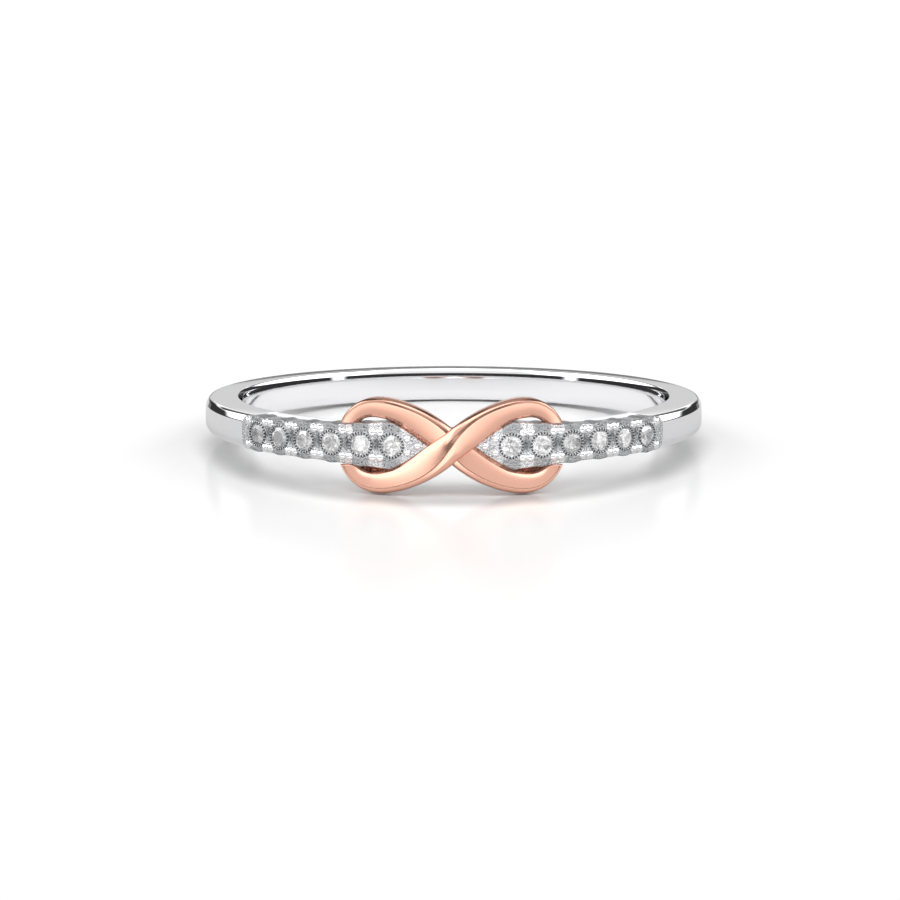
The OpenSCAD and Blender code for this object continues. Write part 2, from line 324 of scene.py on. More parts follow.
polishedSilver = {"Color": (0.93, 0.93, 0.945, 1), "Tone": 0.03, "Gloss": 0.03, "Haze": 0.1, "Lines": 0.05}
cutSilver = {"Color": (0.8, 0.805, 0.82, 1), "Tone": 0.06, "Gloss": 0.12, "Haze": 0.1, "Lines": 0.1}
beadSilver = {"Color": (0.93, 0.93, 0.94, 1), "Tone": 0.05, "Gloss": 0.2, "Haze": 0.1, "Lines": 0.05}
roseGold = {"Color": (0.88, 0.49, 0.37, 1), "Tone": 0.03, "Gloss": 0.16, "Haze": 0.12, "Lines": 0.05}


def makePolished(name, look):
    material, tree, shader = newMaterial(name)
    polish = addPolish(tree, look)
    shader.inputs["Metallic"].default_value = 1
    tree.links.new(polish.outputs["Color"], shader.inputs["Base Color"])
    tree.links.new(polish.outputs["Roughness"], shader.inputs["Roughness"])
    tree.links.new(polish.outputs["Normal"], shader.inputs["Normal"])
    return material


# The mesh's own attributes say where the metal is grained and where it carries painted shade
def makeCutSilver():
    material, tree, shader = newMaterial("cutSilver")
    polish = addPolish(tree, cutSilver)
    grained = addNode(tree, "ShaderNodeAttribute", attribute_name="grain").outputs["Fac"]
    darkening = addNode(tree, "ShaderNodeAttribute", attribute_name="crevice").outputs["Fac"]
    grain = addNode(tree, "ShaderNodeGroup", node_tree=grainGroup)
    tree.links.new(polish.outputs["Color"], grain.inputs["Color"])
    tree.links.new(polish.outputs["Normal"], grain.inputs["Normal"])
    tree.links.new(grained, grain.inputs["Amount"])
    tree.links.new(darkening, grain.inputs["Crevice"])
    grain.inputs["Dark"].default_value = grainLook["dark"]
    grain.inputs["Cells per metre"].default_value = grainLook["cells"]
    shader.inputs["Metallic"].default_value = 1
    tree.links.new(grain.outputs["Color"], shader.inputs["Base Color"])
    tree.links.new(grain.outputs["Roughness"], shader.inputs["Roughness"])
    tree.links.new(grain.outputs["Normal"], shader.inputs["Normal"])
    return material


# Directions closer than Snap share one random value. The facet tones are painted shade, and the glint is a
# painted glint given off by emission.
stoneLook = {"IOR": 2.3, "Transmission": 0.86, "Roughness": 0.01, "Snap": 0.04, "Facet dark": 0.5,
             "Facet light": 1.0, "Spark from": 0.55, "Spark": 0.3}


# Clear stone with painted facet shading: a random value for each face's direction darkens its colour as
# painted shade, or lets it give off a painted glint
def makeStone():
    look = stoneLook
    material, tree, shader = newMaterial("clearStone")
    normal = addNode(tree, "ShaderNodeNewGeometry").outputs["True Normal"]
    facing = addNode(tree, "ShaderNodeVectorMath", {0: normal, 1: (look["Snap"],) * 3}, operation="SNAP")
    chance = addNode(tree, "ShaderNodeTexWhiteNoise", {"Vector": facing.outputs[0]}).outputs["Value"]
    tone = mapNode(tree, chance, 0.0, 1.0, look["Facet dark"], look["Facet light"])
    color = addNode(tree, "ShaderNodeCombineXYZ", {0: tone, 1: tone, 2: tone})
    # Painted glint: the facets with the highest random values glow by emission
    paintedGlint = mapNode(tree, chance, look["Spark from"], 1.0, 0.0, look["Spark"])
    light = addNode(tree, "ShaderNodeCombineXYZ", {0: paintedGlint, 1: paintedGlint, 2: paintedGlint})
    tree.links.new(color.outputs[0], shader.inputs["Base Color"])
    tree.links.new(light.outputs[0], shader.inputs["Emission Color"])
    shader.inputs["Emission Strength"].default_value = 1
    shader.inputs["Roughness"].default_value = look["Roughness"]
    shader.inputs["IOR"].default_value = look["IOR"]
    shader.inputs["Transmission Weight"].default_value = look["Transmission"]
    return material


silver = makePolished("polishedSilver", polishedSilver)
softSilver = makePolished("beadSilver", beadSilver)
rose = makePolished("roseGold", roseGold)
grained = makeCutSilver()
stoneClear = makeStone()
print("materials made")

# Shank: heights above the middle and depths under the outer face, in millimetres. It sinks under the
# shoulders between sinkFrom and sinkTo degrees before their end.
shankLook = {
    "wallHalf": 0.375,
    "coneSlope": 0.105,
    "coneMost": 3.0,
    "lipFrom": 0.515,
    "lipSlope": 0.05,
    "lipMore": 3.05,
    "lipHeight": 0.66,
    "topDrop": 0.05,
    "edgeDepth": 0.16,
    "bevelHeight": 0.27,
    "faceDrop": 0.015,
    "edgeRound": 0.12,
    "lipRound": 0.001,
    "topRound": 0.035,
    "bevelRound": 0.03,
    "crownRound": 0.3,
    "sinkUnder": 0.08,
    "sinkFrom": 1.8,
    "sinkTo": 0.3,
    "columns": 540,
    "cornerSteps": 11,
    "wallRows": 4,
    "coneRows": 4,
    "lipRows": 10,
    "rowStart": 0.006,
}


# Radius inside: straight up to wallHalf, a cone of slope coneSlope up to lipFrom, then a lip whose slope
# grows by lipMore for each millimetre of height
def innerRadius(height):
    s = shankLook
    pastWall, pastCone = np.maximum(height - s["wallHalf"], 0), np.maximum(height - s["lipFrom"], 0)
    cone = ring["fingerRadius"] + s["coneSlope"] * pastWall
    return cone + s["lipSlope"] * pastCone + s["lipMore"] / 2 * pastCone**2


# Section: the inside, then a rounded path over the top face, the bevel, the outer face and back below
def shankSection():
    s = shankLook
    half = ring["shankHeight"] / 2
    rows = np.concatenate([
        np.linspace(0, s["wallHalf"], s["wallRows"]),
        np.linspace(s["wallHalf"] + s["rowStart"], s["lipFrom"], s["coneRows"]),
        np.linspace(s["lipFrom"] + s["rowStart"], s["lipHeight"], s["lipRows"])])
    z = np.concatenate([-rows[:0:-1], rows])
    wall = np.stack([innerRadius(np.abs(z)), z], -1)
    upper = [
        (wall[-1, 0], wall[-1, 1]), (innerRadius(half), half),
        (crownRadius - s["edgeDepth"], half - s["topDrop"]),
        (crownRadius - s["faceDrop"], half - s["topDrop"] - s["bevelHeight"])]
    rounds = [s["lipRound"], s["topRound"], s["edgeRound"], s["bevelRound"]]
    lower = [(r, -z) for r, z in upper[::-1]]
    outside = roundedPath(upper + [(crownRadius, 0)] + lower, rounds + [s["crownRound"]] + rounds[::-1],
                          s["cornerSteps"])
    return np.concatenate([wall, outside])


# The cone's slope grows by 1 / cos of the angle from the back. Each point's height is scaled to the planes
# that taper the shank from its sides to the back. Behind the crossing and the shoulders all that lies
# outside the lip moves in to the bridge.
def makeShank():
    section = shankSection()
    angle = np.linspace(0, 360, shankLook["columns"], endpoint=False)[:, None]
    radius, height = section[None, :, 0], section[None, :, 1]
    s, lip = shankLook, innerRadius(ring["shankHeight"] / 2)
    more = np.minimum(1 / np.maximum(-np.cos(np.radians(angle)), 0.01), s["coneMost"]) - 1
    opened = np.clip(np.abs(height) - s["wallHalf"], 0, s["lipFrom"] - s["wallHalf"])
    inwards = 1 - np.clip((radius - lip) / (crownRadius - lip), 0, 1)
    radius = radius + s["coneSlope"] * more * opened * inwards
    fromFront = np.minimum(angle, 360 - angle)
    thin = 1 - ease(shoulderEnd - s["sinkFrom"], shoulderEnd - s["sinkTo"], fromFront)
    inset = lip + s["sinkUnder"]
    squeezed = inset + (radius - inset) * (bridgeRadius - inset) / (crownRadius - inset)
    radius = np.where(radius > inset, radius + (squeezed - radius) * thin, radius)
    back = np.clip(-radius * np.cos(np.radians(angle)) / crownRadius, 0, 1)
    tall = ring["shankHeight"] + (ring["backHeight"] - ring["shankHeight"]) * back
    points = onRing(angle, radius, height * tall / ring["shankHeight"])
    return makePiece("shank", silver, [{"points": points, "wrapRows": True, "wrapCols": True}])


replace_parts(makeShank(), "band")

# Knot: the strands' sizes in millimetres and shares, and t in degrees
knot = {
    "reach": 4.29,
    "early": 0.07,
    "height": 3.69,
    "width": 0.82,
    "crossWidth": 1.08,
    "endWidth": 0.58,
    "thickness": 0.66,
    "lift": 0.3,
    "liftSpan": 2.6,
    "ridgeDrift": 0.25,
    "ridgeMore": 0.4,
    "outsideGrow": 0.07,
    "swingOver": 3.0,
    "swingUnder": 9.0,
    "gap": 0.03,
    "leafGap": -0.015,
    "endOver": 0.03,
    "sweep": 84,
    "edgeShare": 0.44,
    "backIn": 0.12,
    "crossSlope": 0.45,
    "crossTurn": 0.2,
    "crossEye": 0.08,
    "eyeSlope": 0.4,
    "eyeMoreOver": 0.4,
    "eyeMoreUnder": 0.3,
    "eyePower": 2.4,
    "outsideSlope": 0.25,
    "outsidePower": 4.5,
    "strip": 0.11,
    "stripMore": 0.1,
    "stripPast": 0.12,
    "stripFlatOver": 0.82,
    "stripFlatUnder": 0.6,
    "stripStart": -0.05,
    "stripFade": 4,
    "flatFade": 6,
    "taperFrom": -0.3,
    "taperTo": 0.9,
    "tuckFrom": 22,
    "tuckTo": 38,
    "tuckGap": 0.02,
    "tuckPower": 0.7,
    "rings": 260,
    "faceSteps": 30,
    "facePower": 1.6,
    "underSteps": 8,
    "endFrom": 45,
    "endSteps": 200,
    "leafFrom": 4,
    "leafTo": 56,
    "leafSteps": 60,
}
# A half height that is more than any of the ring's
beyond = 9
strandRise = (knot["height"] - knot["width"]) / 2
endHeight = shoulderHalf(stoneAngles[1]) - knot["endOver"]


# Centre line of a strand, unrolled: u = reach sin t, z = rise sin(2t + early sin 2t)
def centerLine(t):
    return knot["reach"] * np.sin(t), strandRise * np.sin(2 * t + knot["early"] * np.sin(2 * t))


def strandHeading(t):
    (before, low), (after, high) = centerLine(t - 0.001), centerLine(t + 0.001)
    return np.arctan2(high - low, after - before)


# Widest at the crossing, narrower round each loop, and tapering on to its end
def strandWidth(t):
    k, turn = knot, np.cos(2 * t)
    return (k["width"] + (k["crossWidth"] - k["width"]) * np.maximum(turn, 0) ** 2
            + (k["endWidth"] - k["width"]) * ease(k["taperFrom"], k["taperTo"], -turn))


# Inner edge of a strand moved into the eye of its loop, where the leaf ends
def leafEdge(t):
    u, z = centerLine(t)
    turn, half = strandHeading(t) + math.pi / 2, strandWidth(t) / 2 + knot["leafGap"]
    return u - half * np.cos(turn), z - half * np.sin(turn)


leafU, leafZ = leafEdge(np.radians(np.linspace(knot["leafFrom"], knot["leafTo"], knot["leafSteps"])))


# Half height of the leaf at a length along it, at most the shoulder's own half height
def leafHalf(along):
    return np.minimum(np.interp(along, leafU, leafZ, left=0, right=beyond),
                      shoulderHalf(np.degrees(np.abs(along) / faceRadius)))


# Section in shares of width and thickness. From the ridge the face falls to each edge by a slope and a
# quarter of a superellipse, rounder towards the eye of the loop and flatter towards its outside, where a
# flat strip runs beside the ridge. A second quarter runs under to the flat back. Turn runs from -1 to 1
# as the eye changes sides.
def strandSection(turn, side, share, under, place):
    k = knot
    between = np.sin(math.pi * np.abs(turn))
    ridge = k["ridgeDrift"] * np.tanh(k["swing" + place] * turn) * (1 + k["ridgeMore"] * between)
    toEye = -side * turn
    eye = ease(-k["crossTurn"], k["crossTurn"], toEye)
    slope = np.where(toEye > 0, k["eyeSlope"] + k["eyeMore" + place] * between, k["outsideSlope"])
    rise = ease(0, k["crossTurn"], -toEye) + ease(0, k["crossEye"], toEye)
    slope = k["crossSlope"] + (slope - k["crossSlope"]) * rise
    power = k["outsidePower"] + (k["eyePower"] - k["outsidePower"]) * eye
    half = 0.5 - side * ridge + k["outsideGrow"] * between * (1 - eye)
    strip = (k["strip"] + k["stripMore"] * (1 - np.abs(turn)) ** k["stripFade"])
    strip = strip * (1 - ease(k["stripStart"], k["stripPast"], toEye)) / half
    flat = k["stripFlat" + place] + (1 - k["stripFlat" + place]) * np.abs(turn) ** k["flatFade"]
    past = np.maximum(share - strip, 0) / (1 - strip)
    straight = share + (past - share) * flat * (1 - eye)
    fall = 1 - (1 - np.minimum(share, 1) ** power) ** (1 / power)
    across = ridge + side * (half * share - k["backIn"] * (1 - np.cos(under)))
    out = 1 - (1 - k["edgeShare"]) * (slope * straight + (1 - slope) * fall) - k["edgeShare"] * np.sin(under)
    return across, out


# Strand point: section set square across the centre line, in unrolled u, z and radius
def strandPoint(t, side, share, under, lifted):
    k = knot
    turn = np.sin(np.clip(2 * t, -math.pi / 2, math.pi / 2))
    across, out = strandSection(turn, side, share, under, "Over" if lifted else "Under")
    u, z = centerLine(t)
    direction, width = strandHeading(t) + math.pi / 2, strandWidth(t)
    lift = lifted * np.exp(-((u / k["liftSpan"]) ** 2) * 2)
    along = u + across * width * np.cos(direction)
    radius = bridgeRadius + k["gap"] + lift + out * k["thickness"]
    return along, z + across * width * np.sin(direction), radius


# Each line along a strand ends where it comes down to the shoulder. In the lower loops the flank under the
# edge is tucked in towards the leaf, by its distance from the leaf less tuckGap.
def makeStrand(rise, lifted):
    k = knot
    share = 1 - (1 - np.linspace(0, 1, k["faceSteps"])) ** k["facePower"]
    under = math.pi / 2 * np.linspace(0, 1, k["underSteps"])[1:]
    shares = np.append(share, np.ones(len(under)))
    unders = np.append(np.zeros(len(share)), under)
    shares, unders = np.append(shares[:0:-1], shares), np.append(unders[:0:-1], unders)
    sides = np.sign(np.arange(len(shares)) - len(shares) // 2)
    probe = np.radians(np.linspace(k["endFrom"], k["sweep"], k["endSteps"]))[:, None]
    down = strandPoint(probe, sides, shares, unders, 0)[1] < endHeight
    last = probe[down.argmax(0), 0]
    q = np.linspace(0, 1, k["rings"])[:, None]
    t = -last[::-1] + (last + last[::-1]) * q
    along, height, radius = strandPoint(t, sides, shares, unders, lifted)
    footAlong, footHeight, _ = strandPoint(t, -np.sign(t), 1, math.pi / 2, lifted)
    tuck = np.maximum(np.abs(footHeight) - leafHalf(np.abs(footAlong)) - k["tuckGap"], 0)
    tuck = tuck * ease(math.radians(k["tuckFrom"]), math.radians(k["tuckTo"]), np.abs(t)) * (rise * t < 0)
    inEye = (sides * t < 0) * np.sin(unders) ** k["tuckPower"]
    height = height - np.sign(t) * tuck * inEye
    points = onRing(np.degrees(along / faceRadius), radius, rise * height)
    ends = [np.broadcast_to(points[i].mean(0), points[i].shape)[None] for i in (0, -1)]
    points = np.concatenate([ends[0], points, ends[1]])
    return {"points": points, "wrapCols": True}


strands = [makeStrand(-1, 0), makeStrand(1, knot["lift"])]
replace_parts(makePiece("infinityKnot", rose, strands), "infinity_knot")
print("knot made")

# Shoulders: millimetres, and shares for what is grained and what carries painted shade
shoulderLook = {
    "rootRadius": 8.9,
    "cupSwell": 0.04,
    "cupBlend": 0.02,
    "endRim": 0.4,
    "endRound": 0.42,
    "edgeRound": 0.06,
    "seatRadius": 0.475,
    "endPower": 2.6,
    "endSlope": 1.2,
    "edgeMost": 0.995,
    "valleyDepth": 0.14,
    "valleyLong": 0.13,
    "valleyHigh": 0.26,
    "seatDrop": 0.12,
    "seatSlope": 0.9,
    "cupFrom": 0.3,
    "cupTo": 0.42,
    "darkLong": 0.16,
    "darkHigh": 0.3,
    "pointFrom": 0.8,
    "pointTo": 0.5,
    "patchFrom": 0.44,
    "patchTo": 0.52,
    "grain": 0.55,
    "grainCup": 0.45,
    "grainValley": 0.8,
    "grainPoint": 0.45,
    "darkValley": 0.6,
    "darkPoint": 0.22,
    "darkPatch": 0.5,
    "rows": 460,
    "evenShare": 0.85,
    "endShare": 0.075,
    "columns": 83,
    "columnPower": 1.25,
    "wallSteps": (0.35, 0.7, 1.0),
}
toLength = faceRadius * math.pi / 180
stoneAlong = stoneAngles * toLength
leafTip = float(np.interp(0, leafZ, leafU))
rimEnd = stoneAlong[-1] + halfStep * toLength + shoulderLook["endRim"]


# Half height of the shoulder's outline at a length along it: plates and cups, cut by the leaf's edge
# and rounded at the end
def shoulderOutline(along):
    s = shoulderLook
    plate = shoulderHalf(along / toLength) - s["cupSwell"]
    reach = along[:, None] - stoneAlong[None, 1:]
    cups = np.sqrt(np.maximum(shoulderHalf(stoneAngles[1:])[None] ** 2 - reach**2, 0)).max(1)
    half = np.logaddexp(plate / s["cupBlend"], cups / s["cupBlend"]) * s["cupBlend"]
    inLeaf = np.interp(along, leafU, leafZ, left=0, right=beyond)
    half = -np.logaddexp(-half / s["cupBlend"], -inLeaf / s["cupBlend"]) * s["cupBlend"]
    past = np.clip((along - rimEnd + s["endRound"]) / s["endRound"], 0, 1)
    return np.maximum(half, 0) * (1 - past ** s["endPower"]) ** (1 / s["endPower"])


# Depth of the face under its own level: round edges, worn valleys between the stones and open seats
def shoulderFace(along, height, half):
    s = shoulderLook
    edge = np.minimum(half - np.abs(height), (rimEnd - along) * s["endSlope"])
    inEdge = np.clip(1 - edge / s["edgeRound"], 0, 1)
    depth = s["edgeRound"] * (1 - np.sqrt(1 - np.minimum(inEdge, s["edgeMost"]) ** 2))
    reach = np.hypot(along[..., None] - stoneAlong, height[..., None])
    nearest = reach.min(-1)
    middle = np.abs(along[..., None] - (stoneAlong[:-1] + halfStep * toLength)).min(-1)
    valley = s["valleyDepth"] * np.exp(-((middle / s["valleyLong"]) ** 2) - (height / s["valleyHigh"]) ** 2)
    inSeat = s["seatDrop"] + s["seatSlope"] * (s["seatRadius"] - nearest)
    seat = np.where(nearest < s["seatRadius"], inSeat, 0)
    return depth + valley + seat, nearest, middle


# What is grained and what carries painted shade: the cups, the valleys between them and the leaf's point
# are finer than the plate and darkened by painted shade, the cups only towards their upper and lower edges,
# and the seats are plain
def shoulderMasks(along, height, nearest, middle):
    s = shoulderLook
    face = slice(s["columns"])
    cup = 1 - ease(s["cupFrom"], s["cupTo"], np.abs(along[:, :, None] - stoneAlong).min(-1))
    valley = np.zeros_like(height)
    valley[:, face] = np.exp(-((middle / s["darkLong"]) ** 2) - (height[:, face] / s["darkHigh"]) ** 2)
    point = 1 - ease(stoneAlong[0] - s["pointFrom"], stoneAlong[0] - s["pointTo"], along)
    grain = s["grain"] + s["grainCup"] * cup + s["grainValley"] * valley + s["grainPoint"] * point
    grain = np.clip(grain, 0, 1)
    grain[:, face] *= np.where(nearest < s["seatRadius"], 0, 1)
    # Painted shade: darker in the valleys, at the leaf's point and towards the cups' upper and lower edges
    dark = s["darkValley"] * valley + s["darkPoint"] * point
    dark += s["darkPatch"] * cup * ease(s["patchFrom"], s["patchTo"], np.abs(height))
    return {"grain": grain, "crevice": np.clip(dark, 0, 1)}


# A grid of rows along the ring, closer together at both ends, and of columns up the face, closer together
# at its edges, with walls that go down to rootRadius
def makeShoulder(side, name):
    s = shoulderLook
    q = np.linspace(0, 1, s["rows"])
    along = leafTip + (rimEnd - leafTip) * (s["evenShare"] * q + s["endShare"] * (1 - np.cos(math.pi * q)))
    half = shoulderOutline(along)
    v = np.linspace(-1, 1, s["columns"])
    v = np.sign(v) * (1 - (1 - np.abs(v)) ** s["columnPower"])
    height = half[:, None] * v[None]
    alongFace = np.broadcast_to(along[:, None], height.shape)
    depth, nearest, middle = shoulderFace(alongFace, height, half[:, None])
    radius = faceRadius - depth
    walls = np.array(s["wallSteps"])
    down = radius[:, -1:] + (s["rootRadius"] - radius[:, -1:]) * walls
    radius = np.concatenate([radius, down, down[:, ::-1]], 1)
    edges = [np.repeat(sign * half[:, None], len(walls), 1) for sign in (1, -1)]
    height = np.concatenate([height] + edges, 1)
    along = np.broadcast_to(along[:, None], height.shape)
    grid = {"points": onRing(side * along / toLength, radius, height), "wrapCols": True,
            "masks": shoulderMasks(along, height, nearest, middle)}
    return makePiece(name, grained, [grid])


for side, name in ((-1, "shoulder_left"), (1, "shoulder_right")):
    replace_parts(makeShoulder(side, name), "band")
print("shoulders made")

# Collars: the beaded ring round each stone, in millimetres
collarLook = {"radius": 0.45, "sink": 0.012, "tube": 0.03, "swell": 0.022, "grains": 24, "steps": 8,
              "around": 10}


# A torus whose tube swells and shrinks with |cos| of the way round, so that it reads as a row of grains,
# with painted shade where the tube thins between them
def collarGrid(angle):
    c = collarLook
    turn = np.linspace(0, 2 * math.pi, c["grains"] * c["steps"], endpoint=False)[:, None]
    tubeTurn = np.linspace(0, 2 * math.pi, c["around"], endpoint=False)[None]
    swell = np.abs(np.cos(turn * c["grains"] / 2))
    tube = c["tube"] + c["swell"] * swell
    reach = c["radius"] + tube * np.cos(tubeTurn)
    out = faceRadius - c["sink"] + tube * np.sin(tubeTurn)
    x, z = reach * np.cos(turn), reach * np.sin(turn)
    points = onRing(angle + np.degrees(np.arctan2(x, out)), np.hypot(x, out), z)
    # Painted shade between the grains, darkest where the tube is thinnest
    dark = np.broadcast_to(np.sqrt(1 - swell**3), x.shape)
    return {"points": points, "wrapRows": True, "wrapCols": True, "masks": {"grain": 0.0, "crevice": dark}}


allAngles = np.concatenate([-stoneAngles, stoneAngles])
collars = makePiece("collars", grained, [collarGrid(a) for a in allAngles])
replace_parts(collars, "band")

# Beads, in millimetres: those of a pair lie pair apart between two stones and rise over the middle line.
# A last pair lies endIn before the shoulder's end, and tipPairIn before the first stone lies a pair with
# one more bead tipLastIn past it.
beadLook = {"radius": 0.185, "rise": 0.48, "pair": 0.31, "sink": 0.085, "endIn": 0.04, "endShare": 0.94,
            "tipRadius": 0.15, "tipRise": 0.27, "tipPairIn": 0.6, "tipLastIn": 0.4, "around": 28, "up": 18}


# A sphere as a grid of turns and rises, closed at its poles
def beadGrid(angle, x, z, radius):
    b = beadLook
    turn = np.linspace(0, 2 * math.pi, b["around"], endpoint=False)[:, None]
    rise = np.linspace(-math.pi / 2, math.pi / 2, b["up"])[None]
    sideways = x + radius * np.cos(rise) * np.cos(turn)
    height = z + radius * np.cos(rise) * np.sin(turn)
    out = faceRadius - b["sink"] + radius * np.sin(rise)
    points = onRing(angle + np.degrees(np.arctan2(sideways, out)), np.hypot(sideways, out), height)
    return {"points": points, "wrapRows": True}


def makeBeads():
    b = beadLook
    grids = []
    for side in (-1, 1):
        for up in (-1, 1):
            for angle in stoneAngles[:-1] + halfStep:
                for x in (-b["pair"] / 2, b["pair"] / 2):
                    grids.append(beadGrid(side * angle, x, up * b["rise"], b["radius"]))
            grids.append(beadGrid(side * shoulderEnd, -side * b["endIn"], up * b["rise"] * b["endShare"],
                                  b["radius"]))
            tip = side * (stoneAngles[0] - b["tipPairIn"] / toLength)
            grids.append(beadGrid(tip, 0, up * b["tipRise"], b["tipRadius"]))
        last = side * (stoneAngles[0] - (b["tipPairIn"] + b["tipLastIn"]) / toLength)
        grids.append(beadGrid(last, 0, 0, b["tipRadius"]))
    return makePiece("beads", softSilver, grids)


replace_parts(makeBeads(), "band")

# Stones keep their solids, whose facets are right
for name, node in frame["nodes"].items():
    if name.startswith("stone_"):
        node.data.materials.clear()
        node.data.materials.append(stoneClear)
print("stones dressed")

# Light tent: radiances, and angles in degrees. Heights are above the floor, turns away from the front, and
# the screen's angles go from the front over the top. Each Soft is half the width of an edge.
tent = {
    "top": 2.4,
    "belt": 0.03,
    "beltBack": 0.035,
    "beltFrom": 1.5,
    "beltBackFrom": -3.0,
    "beltFrontTo": 12.0,
    "beltBackTo": 12.0,
    "beltSoft": 2.0,
    "beltFromTurns": (50.0, 90.0),
    "beltToTurns": (40.0, 130.0),
    "beltBackTurn": 120.0,
    "beltTurnSoft": 10.0,
    "veil": 0.9,
    "veilTo": 50.0,
    "veilHalf": 50.0,
    "veilSoft": 8.0,
    "cardFrom": 64.0,
    "cardTo": 70.0,
    "cardSoft": 3.0,
    "backHalf": 12.0,
    "backTop": 14.0,
    "backMiddle": 8.0,
    "backLow": 0.66,
    "backHigh": 1.1,
    "backSoft": 4.0,
    "backTopSoft": 1.0,
    "backMiddleSoft": 2.0,
    "screen": 0.08,
    "screenMiddle": 0.42,
    "screenFrom": 82.0,
    "screenTo": 166.0,
    "screenSoft": 4.0,
    "screenHalf": 0.6,
    "screenHalfSoft": 0.08,
    "screenInner": 0.28,
    "screenInnerSoft": 0.06,
}


# The world is a light tent: a bright top with a paler veil in front, a dark belt just over the floor with a
# bright card at each side, a dark screen over the back and an opening under it. Its edges are worked out
# from the direction, and the camera itself sees plain white.
def makeWorld():
    s = tent
    world = bpy.data.worlds.new("tent")
    world.use_nodes = True
    tree = world.node_tree
    back = tree.nodes["Background"]

    def band(value, low, high, soft):
        begins, ends = stepNode(tree, value, low, soft), stepNode(tree, value, high, soft)
        return mathNode(tree, "SUBTRACT", begins, ends)

    direction = addNode(tree, "ShaderNodeSeparateXYZ",
                        {0: addNode(tree, "ShaderNodeTexCoord").outputs["Generated"]}).outputs
    forward = mathNode(tree, "MULTIPLY", direction["Y"], -1.0)
    sideways = mathNode(tree, "ABSOLUTE", direction["X"])
    up = mathNode(tree, "DEGREES", mathNode(tree, "ARCSINE", direction["Z"]))
    fromFront = mathNode(tree, "DEGREES", mathNode(tree, "ARCTAN2", sideways, forward))
    overhead = mathNode(tree, "DEGREES", mathNode(tree, "ARCTAN2", direction["Z"], forward))
    screen = mathNode(tree, "MULTIPLY", band(overhead, s["screenFrom"], s["screenTo"], s["screenSoft"]),
                      band(sideways, -1.0, s["screenHalf"], s["screenHalfSoft"]))
    outer = stepNode(tree, sideways, s["screenInner"], s["screenInnerSoft"])
    light = mixNode(tree, screen, s["top"], mixNode(tree, outer, s["screenMiddle"], s["screen"]))
    beltTo = mapNode(tree, fromFront, *s["beltToTurns"], s["beltFrontTo"], s["beltBackTo"])
    beltFrom = mapNode(tree, fromFront, *s["beltFromTurns"], s["beltFrom"], s["beltBackFrom"])
    card = band(fromFront, s["cardFrom"], s["cardTo"], s["cardSoft"])
    belt = mathNode(tree, "MULTIPLY", band(up, beltFrom, beltTo, s["beltSoft"]), oneMinus(tree, card))
    veil = mathNode(tree, "MULTIPLY", oneMinus(tree, stepNode(tree, up, s["veilTo"], s["veilSoft"])),
                    oneMinus(tree, stepNode(tree, fromFront, s["veilHalf"], s["veilSoft"])))
    light = mixNode(tree, veil, light, s["veil"])
    behind = stepNode(tree, fromFront, s["beltBackTurn"], s["beltTurnSoft"])
    light = mixNode(tree, belt, light, mixNode(tree, behind, s["belt"], s["beltBack"]))
    opening = mathNode(tree, "MULTIPLY", stepNode(tree, fromFront, 180 - s["backHalf"], s["backSoft"]),
                       oneMinus(tree, stepNode(tree, up, s["backTop"], s["backTopSoft"])))
    higher = stepNode(tree, up, s["backMiddle"], s["backMiddleSoft"])
    light = mixNode(tree, opening, light, mixNode(tree, higher, s["backLow"], s["backHigh"]))
    seen = addNode(tree, "ShaderNodeLightPath").outputs["Is Camera Ray"]
    back.inputs["Color"].default_value = (1, 1, 1, 1)
    tree.links.new(mixNode(tree, seen, light, 1.0), back.inputs["Strength"])
    bpy.context.scene.world = world


# Floor: places in millimetres, and its brightness, painted with light and shade, as the camera or the metal
# sees it. Each Soft is half the width of an edge.
floorLook = {
    "half": 900.0,
    "seen": 0.86,
    "shade": 0.42,
    "shadeFrom": 8.3,
    "shadeFromSoft": 0.6,
    "shadeTo": 9.7,
    "shadeToSoft": 0.7,
    "shadeStretch": 0.85,
    "shadeBehind": 2.0,
    "shadeBehindSoft": 2.0,
    "inside": 0.7,
    "byBack": 0.78,
    "byBackFrom": 1.0,
    "byBackSoft": 5.0,
    "near": 0.57,
    "nearFrom": 9.5,
    "nearSoft": 1.5,
    "far": 0.5,
    "farFrom": 45.0,
    "farSoft": 15.0,
    "front": 0.68,
    "frontFrom": -10.0,
    "frontSoft": 1.0,
    "behind": 0.15,
    "behindFrom": 30.0,
    "behindSoft": 10.0,
    "glow": 1.1,
    "glowFrom": -13.2,
    "glowSoft": 2.0,
    "glowHalf": 9.0,
    "glowHalfSoft": 3.0,
    "cloud": 0.02,
    "cloudScale": 60.0,
    "shine": 0.1,
    "roughness": 0.2,
}


# The floor as the metal reflects it, with painted light and shade: brighter inside the ring and in front of
# it than beside it, and darker far off and behind it
def reflectedFloor(tree, y, away):
    s = floorLook
    inside = mixNode(tree, stepNode(tree, y, s["byBackFrom"], s["byBackSoft"]), s["inside"], s["byBack"])
    paper = mixNode(tree, stepNode(tree, away, s["nearFrom"], s["nearSoft"]), inside, s["near"])
    paper = mixNode(tree, stepNode(tree, away, s["farFrom"], s["farSoft"]), paper, s["far"])
    paper = mixNode(tree, stepNode(tree, y, s["frontFrom"], s["frontSoft"]), s["front"], paper)
    return mixNode(tree, stepNode(tree, y, s["behindFrom"], s["behindSoft"]), paper, s["behind"])


